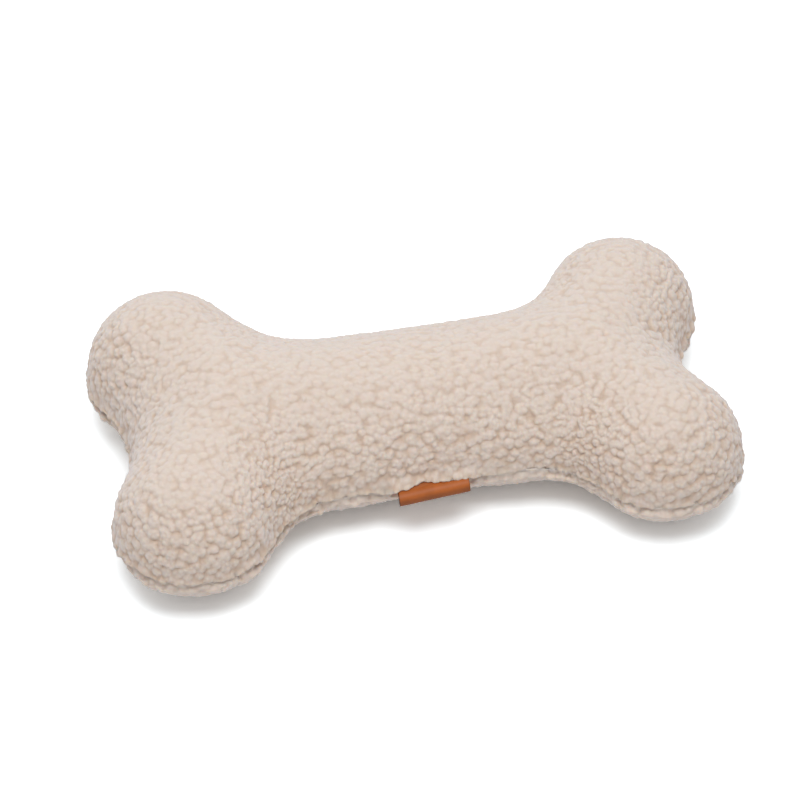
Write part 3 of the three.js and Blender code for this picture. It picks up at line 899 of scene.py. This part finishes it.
class PLUSH_OT_tab(bpy.types.Operator):
    """Folds the leather strip double and sews it into the front seam"""
    bl_idname = "plush.tab"
    bl_label = "Leather tab"

    def execute(self, context):
        tab = context.scene.plush_tab
        low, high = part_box("tab_flap")
        path = tab_path(tab)
        deselect()
        bpy.ops.mesh.primitive_plane_add(size=1.0, location=(0, 0, 0))
        strip = context.object
        strip.name = "leather_tab"
        edit(strip, "SELECT")
        bpy.ops.transform.resize(value=(high.x - low.x, path[0].y - path[1].y, 1.0))
        middle = Vector(((low.x + high.x) / 2.0, *((path[0] + path[1]) / 2.0).yz))
        bpy.ops.transform.translate(value=middle)
        leave()
        reach = [sum(strip.data.vertices[v].co.y for v in e.vertices) for e in strip.data.edges]
        pick(strip, "EDGE", [y == min(reach) for y in reach])
        for here, there in zip(path[1:-1], path[2:]):
            bpy.ops.mesh.extrude_edges_move(TRANSFORM_OT_translate={"value": there - here})
        bpy.ops.mesh.select_all(action="SELECT")
        bpy.ops.mesh.normals_make_consistent(inside=False)
        leave()
        cross_cut(strip, 16)
        modify(strip, "SOLIDIFY", thickness=tab.thickness * 0.98, offset=0.0, use_even_offset=True)
        modify(strip, "BEVEL", width=0.00016, segments=2, limit_method="ANGLE",
               angle_limit=math.radians(50))
        soft = bpy.data.textures.new("leather_waves", "CLOUDS")
        soft.noise_scale = 0.009
        modify(strip, "DISPLACE", texture=soft, strength=0.00025, mid_level=0.5,
               texture_coords="LOCAL")
        modify(strip, "SUBSURF", levels=1, render_levels=1)
        smooth_shade(strip)
        strip.data.materials.append(leather_material(tab, low.x, high.x))
        darken_fold_shade_root(strip, low.y)
        sew_askew(strip, low.x, tab)
        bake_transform(strip)
        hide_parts("tab_root", "tab_flap")
        return {"FINISHED"}


def sew_askew(strip, pivot, tab):
    """Slides the strip into the seam and lifts its free part, the more the further from one end."""
    co = points(strip)
    along = co[:, 0] - pivot
    hinge_y = tab_hinge().y
    free = 1.0 - smoothstep(hinge_y - TAB_LIFTED_FROM, hinge_y, co[:, 1])
    co[:, 1] += along * tab.skew
    co[:, 2] += along * tab.lift * free
    place(strip, co)


def darken_fold_shade_root(strip, fold_y):
    """Notes how dark the leather is: darker along the fold, and painted shade up against the
    fleece, which shades it there.
    """
    from_fold = points(strip)[:, 1] - fold_y
    fold_dark_and_root_shade = 1.0 - smoothstep(FOLD_DARK, FOLD_DARK_TO, from_fold)
    fold_dark_and_root_shade = np.maximum(fold_dark_and_root_shade, 0.7 * smoothstep(ROOT_SHADE_FROM, ROOT_SHADE_FULL, from_fold))
    note(strip, "fold_dark_and_root_shade", fold_dark_and_root_shade)


def cross_cut(strip, cuts):
    """Cuts the strip across its width, so that it can wave a little."""
    ends = points(strip)[edges_of(strip), 0]
    pick(strip, "EDGE", np.abs(ends[:, 0] - ends[:, 1]) > 0.01)
    bpy.ops.mesh.subdivide(number_cuts=cuts)
    leave()


# Squeaker

def turned(name, profile, centre, segments=48):
    """A turned piece: a circle extruded from each (radius, height) of its profile to the next. A
    first or last circle of a tiny radius is merged into a closed pole."""
    deselect()
    radius, height = profile[0]
    bpy.ops.mesh.primitive_circle_add(
        vertices=segments, radius=radius, location=(0, 0, 0), fill_type="NOTHING")
    obj = bpy.context.object
    obj.name = name
    edit(obj, "SELECT")
    bpy.ops.transform.translate(value=(centre.x, centre.y, height))
    for next_radius, next_height in profile[1:]:
        bpy.ops.mesh.extrude_edges_move(
            TRANSFORM_OT_translate={"value": (0.0, 0.0, next_height - height)})
        bpy.ops.transform.resize(
            value=(next_radius / radius, next_radius / radius, 1.0),
            center_override=(centre.x, centre.y, next_height))
        radius, height = next_radius, next_height
    bpy.ops.mesh.select_all(action="SELECT")
    bpy.ops.mesh.remove_doubles(threshold=POLE_MERGE)
    bpy.ops.mesh.normals_make_consistent(inside=False)
    leave()
    return obj


def folded_side(radius, depth, bottom, top, folds, steps):
    """The wavy side of the bellows, as (radius, height) from the bottom up."""
    side = []
    for i in range(folds * steps + 1):
        t = i / steps
        wave = 0.5 - 0.5 * math.cos(2.0 * math.pi * t)
        side.append((radius - depth * (1.0 - wave), bottom + (top - bottom) * t / folds))
    return side


class PLUSH_OT_squeaker(bpy.types.Operator):
    """Moulds the bellows of the squeaker, with its plug and its reed"""
    bl_idname = "plush.squeaker"
    bl_label = "Squeaker"

    def execute(self, context):
        squeaker = context.scene.plush_squeaker
        low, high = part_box("squeaker_bellows")
        plug_low, plug_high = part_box("squeaker_plug")
        centre = (low + high) / 2.0
        radius = (high.x - low.x) / 2.0
        neck = (plug_high.x - plug_low.x) / 2.0
        wall, depth = squeaker.wall, squeaker.fold_depth
        shoulder = radius - depth
        shoulder_height = high.z - squeaker.neck_height
        outside = folded_side(radius, depth, low.z + 0.0004, shoulder_height - 0.0004,
                              squeaker.folds, 8)
        inside = folded_side(radius - wall, depth, low.z + wall + 0.0003,
                             shoulder_height - wall - 0.0003, squeaker.folds, 8)
        bellows = turned("squeaker_bellows_moulded", [
            (POLE_RADIUS, low.z + 0.0008), (shoulder * 0.45, low.z + 0.0006),
            (shoulder * 0.6, low.z), (shoulder - 0.0008, low.z), *outside,
            (shoulder - 0.0008, shoulder_height), (neck + 0.0006, shoulder_height),
            (neck, shoulder_height + 0.0006), (neck, high.z - 0.0002), (neck - 0.0002, high.z),
            (neck - wall, high.z), (neck - wall, shoulder_height - wall),
            (shoulder - wall, shoulder_height - wall),
            *reversed(inside), (shoulder - wall, low.z + wall), (shoulder * 0.6, low.z + wall),
            (shoulder * 0.45, low.z + wall + 0.0006), (POLE_RADIUS, low.z + wall + 0.0008)], centre)
        shade_by_angle(bellows, 50.0)
        bellows.data.materials.append(
            moulded_material("moulded_bulb", squeaker.bulb_colour, 0.42, 0.35))
        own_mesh(bellows)
        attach(bellows, "toy")
        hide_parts("squeaker_bellows")

        for node, name, tint, roughness in (
                ("squeaker_plug", "plug_plastic", squeaker.plug_colour, 0.3),
                ("squeaker_reed", "reed_plastic", squeaker.reed_colour, 0.35)):
            piece = frame["nodes"][node]
            piece.data.materials[0] = moulded_material(name, tint, roughness, 0.0)
        return {"FINISHED"}


def shade_by_angle(obj, degrees):
    activate(obj)
    bpy.ops.object.shade_smooth_by_angle(angle=math.radians(degrees))


# Threads

class PLUSH_OT_threads(bpy.types.Operator):
    """Gives the seam thread and the closing thread their twisted finish"""
    bl_idname = "plush.threads"
    bl_label = "Threads"

    def execute(self, context):
        thread = thread_material()
        for node in ("seam_thread", "closing_thread"):
            frame["nodes"][node].data.materials[0] = thread
        return {"FINISHED"}


# Materials

def new_material(name):
    """A new material, its node tree and its main shader."""
    material = bpy.data.materials.new(name)
    material.use_nodes = True
    tree = material.node_tree
    return material, tree, next(n for n in tree.nodes if n.type == "BSDF_PRINCIPLED")


def connect(tree, node, inputs):
    """Sets inputs of a node, each to a number, a colour or another node's output."""
    for key, value in inputs.items():
        socket = node.inputs[key]
        if isinstance(value, bpy.types.NodeSocket):
            tree.links.new(value, socket)
        elif socket.type == "RGBA":
            socket.default_value = (*value, 1.0)
        else:
            socket.default_value = value


def add(tree, kind, inputs, **settings):
    """Adds a node with these settings and inputs."""
    node = tree.nodes.new("ShaderNode" + kind)
    for key, value in settings.items():
        setattr(node, key, value)
    connect(tree, node, inputs)
    return node


def in_place(tree):
    """Where a point of the piece lies, in metres."""
    return add(tree, "TexCoord", {}).outputs["Object"]


def attribute(tree, name):
    return add(tree, "Attribute", {}, attribute_name=name).outputs["Fac"]


def noise(tree, scale, detail=2.0, stretch=(1.0, 1.0, 1.0)):
    """Noise with features about one over the scale in metres."""
    mapped = add(tree, "Mapping", {"Vector": in_place(tree), "Scale": stretch})
    return add(tree, "TexNoise", {
        "Vector": mapped.outputs["Vector"], "Scale": scale, "Detail": detail}).outputs["Fac"]


def colour_mix(tree, factor, a, b):
    mix = add(tree, "Mix", {}, data_type="RGBA")
    connect(tree, mix, {"Factor": factor, "A": a, "B": b})
    return mix.outputs["Result"]


def ramp(tree, value, low, high, top=1.0):
    """Turns a value from low to high into 0 to top, and holds it beyond them."""
    return add(tree, "MapRange", {
        "Value": value, "From Min": low, "From Max": high, "To Max": top}).outputs["Result"]


def relief(tree, height, strength, distance):
    bump = add(tree, "Bump", {"Height": height, "Strength": strength, "Distance": distance})
    return bump.outputs["Normal"]


def fleece_material(cover):
    """Matt sherpa fleece: curls with painted shade in their gaps and in the seam crease, a soft
    glow and a faint cool sheen.
    """
    material, tree, shader = new_material("sherpa_fleece")
    # The gap colour is painted shade, mixed in as far as the gap attribute says
    connect(tree, shader, {
        "Base Color": colour_mix(
            tree, attribute(tree, "gap"), cover.tuft_colour, cover.gap_shade_colour),
        "Normal": relief(tree, noise(tree, 1800.0, 3.0), 0.6, 0.0003),
        "Roughness": 0.95, "Specular IOR Level": 0.1,
        "Sheen Weight": 0.45, "Sheen Roughness": 0.5, "Sheen Tint": (0.82, 0.86, 1.0),
        "Subsurface Weight": 0.6, "Subsurface Radius": (0.0026, 0.0019, 0.0013),
        "Subsurface Scale": 1.0})
    return material


def leather_material(tab, left, right):
    """Smooth tan leather: faint grain, cloudy dye, darker along the fold, painted shade under the
    fleece, and burnished cut ends.
    """
    material, tree, shader = new_material("tan_leather")
    cloud = ramp(tree, noise(tree, 160.0, 3.0), 0.35, 0.7)
    base = colour_mix(tree, cloud, tab.leather_colour, [c * 0.78 for c in tab.leather_colour])
    # Painted shade up against the fleece, and darker along the fold, in the edge colour
    fold_dark_and_root_shade = ramp(tree, attribute(tree, "fold_dark_and_root_shade"), 0.0, 1.0, 0.5)
    base = colour_mix(tree, fold_dark_and_root_shade, base, tab.edge_and_shade_colour)
    apart = add(tree, "SeparateXYZ", {"Vector": in_place(tree)})
    from_middle = add(tree, "Math", {0: apart.outputs["X"], 1: (left + right) / 2.0},
                      operation="SUBTRACT")
    size = add(tree, "Math", {0: from_middle.outputs["Value"]}, operation="ABSOLUTE")
    half = (right - left) / 2.0
    burnt = ramp(tree, size.outputs["Value"], half - 0.0004, half - 0.0001, 0.8)
    grain = add(tree, "TexVoronoi", {"Vector": in_place(tree), "Scale": 2600.0})
    connect(tree, shader, {
        "Base Color": colour_mix(tree, burnt, base, tab.edge_and_shade_colour),
        "Normal": relief(tree, grain.outputs["Distance"], 0.25, 0.00012),
        "Roughness": 0.5, "Specular IOR Level": 0.35})
    return material


def fibre_material(filling):
    """Loose white polyester fibre: soft, with fine crossing strands."""
    material, tree, shader = new_material("loose_fibre")
    strands = noise(tree, 700.0, 4.0, (1.0, 0.25, 0.6))
    shade = [c * 0.82 for c in filling.fibre_colour]
    connect(tree, shader, {
        "Base Color": colour_mix(
            tree, ramp(tree, strands, 0.3, 0.7), shade, filling.fibre_colour),
        "Normal": relief(tree, strands, 0.8, 0.0006),
        "Roughness": 0.9, "Sheen Weight": 0.3, "Subsurface Weight": 0.3,
        "Subsurface Radius": (0.003, 0.003, 0.003), "Subsurface Scale": 1.0})
    return material


def thread_material():
    """Twisted polyester thread: slanting plies in light and shade."""
    material, tree, shader = new_material("twisted_thread")
    plies = add(tree, "TexWave", {"Vector": in_place(tree), "Scale": 420.0, "Distortion": 0.6},
                bands_direction="DIAGONAL").outputs["Fac"]
    connect(tree, shader, {
        "Base Color": colour_mix(tree, plies, (0.58, 0.5, 0.42), (0.8, 0.73, 0.65)),
        "Normal": relief(tree, plies, 0.6, 0.0001),
        "Roughness": 0.6, "Sheen Weight": 0.2})
    return material


def moulded_material(name, tint, roughness, translucent):
    """Plain moulded plastic with a faint texture from the mould and slight cloudiness."""
    material, tree, shader = new_material(name)
    cloud = ramp(tree, noise(tree, 220.0, 3.0), 0.3, 0.7)
    connect(tree, shader, {
        "Base Color": colour_mix(tree, cloud, tint, [c * 0.88 for c in tint]),
        "Normal": relief(tree, noise(tree, 2500.0), 0.15, 0.00005),
        "Roughness": roughness, "Subsurface Weight": translucent,
        "Subsurface Radius": (0.002, 0.002, 0.002), "Subsurface Scale": 1.0})
    return material


# Stage

def add_camera(stage):
    camera = bpy.data.objects.new("camera", bpy.data.cameras.new("camera"))
    bpy.context.scene.collection.objects.link(camera)
    az, el, roll = stage.azimuth, stage.elevation, stage.roll
    back = Vector((math.sin(az) * math.cos(el), -math.cos(az) * math.cos(el), math.sin(el)))
    level = Vector((math.cos(az), math.sin(az), 0.0))
    up = back.cross(level)
    right = level * math.cos(roll) + up * math.sin(roll)
    above = up * math.cos(roll) - level * math.sin(roll)
    turn = Matrix((right, above, back)).transposed().to_4x4()
    camera.matrix_world = Matrix.Translation(Vector(stage.aim) + back * stage.distance) @ turn
    camera.data.sensor_width = 36.0
    camera.data.lens = stage.lens
    camera.data.clip_start = 0.01
    camera.data.clip_end = 50.0
    bpy.context.scene.camera = camera


def area_light(name, place_at, aim, size, power):
    light = bpy.data.lights.new(name, "AREA")
    light.shape = "RECTANGLE"
    light.size, light.size_y = size
    light.energy = power
    obj = bpy.data.objects.new(name, light)
    bpy.context.scene.collection.objects.link(obj)
    obj.location = place_at
    obj.rotation_euler = (Vector(place_at) - Vector(aim)).to_track_quat("Z", "Y").to_euler()


def seen_directly(tree):
    """1 for what the camera sees, straight or in a reflection, and 0 for all other light."""
    path = add(tree, "LightPath", {}).outputs
    return add(tree, "Math", {0: path["Is Camera Ray"], 1: path["Is Glossy Ray"]},
               operation="MAXIMUM").outputs["Value"]


def floor_material():
    """Matt white that lights the toy as a plain floor does, and that the camera sees as white."""
    material, tree, shader = new_material("white_floor")
    away = add(tree, "VectorMath", {0: in_place(tree)}, operation="LENGTH").outputs["Value"]
    far = ramp(tree, away, FLOOR_FAR_FROM, FLOOR_FAR_AT)
    white = colour_mix(tree, far, FLOOR_SEEN, FLOOR_FAR)
    connect(tree, shader, {
        "Base Color": colour_mix(tree, seen_directly(tree), FLOOR_COLOUR, white),
        "Roughness": 1.0, "Specular IOR Level": 0.0})
    return material


def white_world(strength):
    """Even light from all round, seen as white."""
    world = bpy.data.worlds.new("soft_light")
    world.use_nodes = True
    tree = world.node_tree
    lit = tree.nodes["Background"]
    connect(tree, lit, {"Color": (1.0, 1.0, 1.0), "Strength": strength})
    seen = add(tree, "Background", {"Color": (1.0, 1.0, 1.0), "Strength": 1.0})
    mix = add(tree, "MixShader", {
        0: seen_directly(tree), 1: lit.outputs["Background"], 2: seen.outputs["Background"]})
    connect(tree, tree.nodes["World Output"], {"Surface": mix.outputs["Shader"]})
    bpy.context.scene.world = world


class PLUSH_OT_stage(bpy.types.Operator):
    """Lays the white floor and sets the lamps and the camera"""
    bl_idname = "plush.stage"
    bl_label = "Stage"

    def execute(self, context):
        stage = context.scene.plush_stage
        bpy.ops.mesh.primitive_plane_add(size=12.0, location=(0, 0, 0))
        floor = context.object
        floor.name = "floor"
        floor.data.materials.append(floor_material())
        area_light("key", (-0.05, -0.26, 1.5), (0, 0, 0.02), (1.0, 0.8), stage.key_power)
        area_light("back", (-0.1, 1.3, 0.9), (0, 0, 0.02), (1.8, 1.0), stage.back_power)
        white_world(stage.world_light)
        add_camera(stage)
        context.scene.view_settings.view_transform = "Standard"
        return {"FINISHED"}


class PLUSH_PT_panel(bpy.types.Panel):
    bl_idname = "PLUSH_PT_panel"
    bl_label = "Plush bone"
    bl_space_type = "VIEW_3D"
    bl_region_type = "UI"
    bl_category = "Plush bone"

    def draw(self, context):
        for operator in OPERATORS:
            self.layout.operator(operator.bl_idname)


SETTINGS = {
    "plush_covers": CoverSettings,
    "plush_filling": FillingSettings,
    "plush_tab": TabSettings,
    "plush_squeaker": SqueakerSettings,
    "plush_stage": StageSettings,
}
OPERATORS = (
    PLUSH_OT_covers, PLUSH_OT_filling, PLUSH_OT_tab, PLUSH_OT_squeaker, PLUSH_OT_threads,
    PLUSH_OT_stage)
CLASSES = (*SETTINGS.values(), *OPERATORS, PLUSH_PT_panel)


def register():
    for cls in CLASSES:
        bpy.utils.register_class(cls)
    for name, group in SETTINGS.items():
        setattr(bpy.types.Scene, name, PointerProperty(type=group))


def unregister():
    for name in SETTINGS:
        delattr(bpy.types.Scene, name)
    for cls in reversed(CLASSES):
        bpy.utils.unregister_class(cls)


def main():
    register()
    bpy.ops.plush.covers()
    bpy.ops.plush.filling()
    bpy.ops.plush.tab()
    bpy.ops.plush.squeaker()
    bpy.ops.plush.threads()
    bpy.ops.plush.stage()


if __name__ == "__main__":
    main()
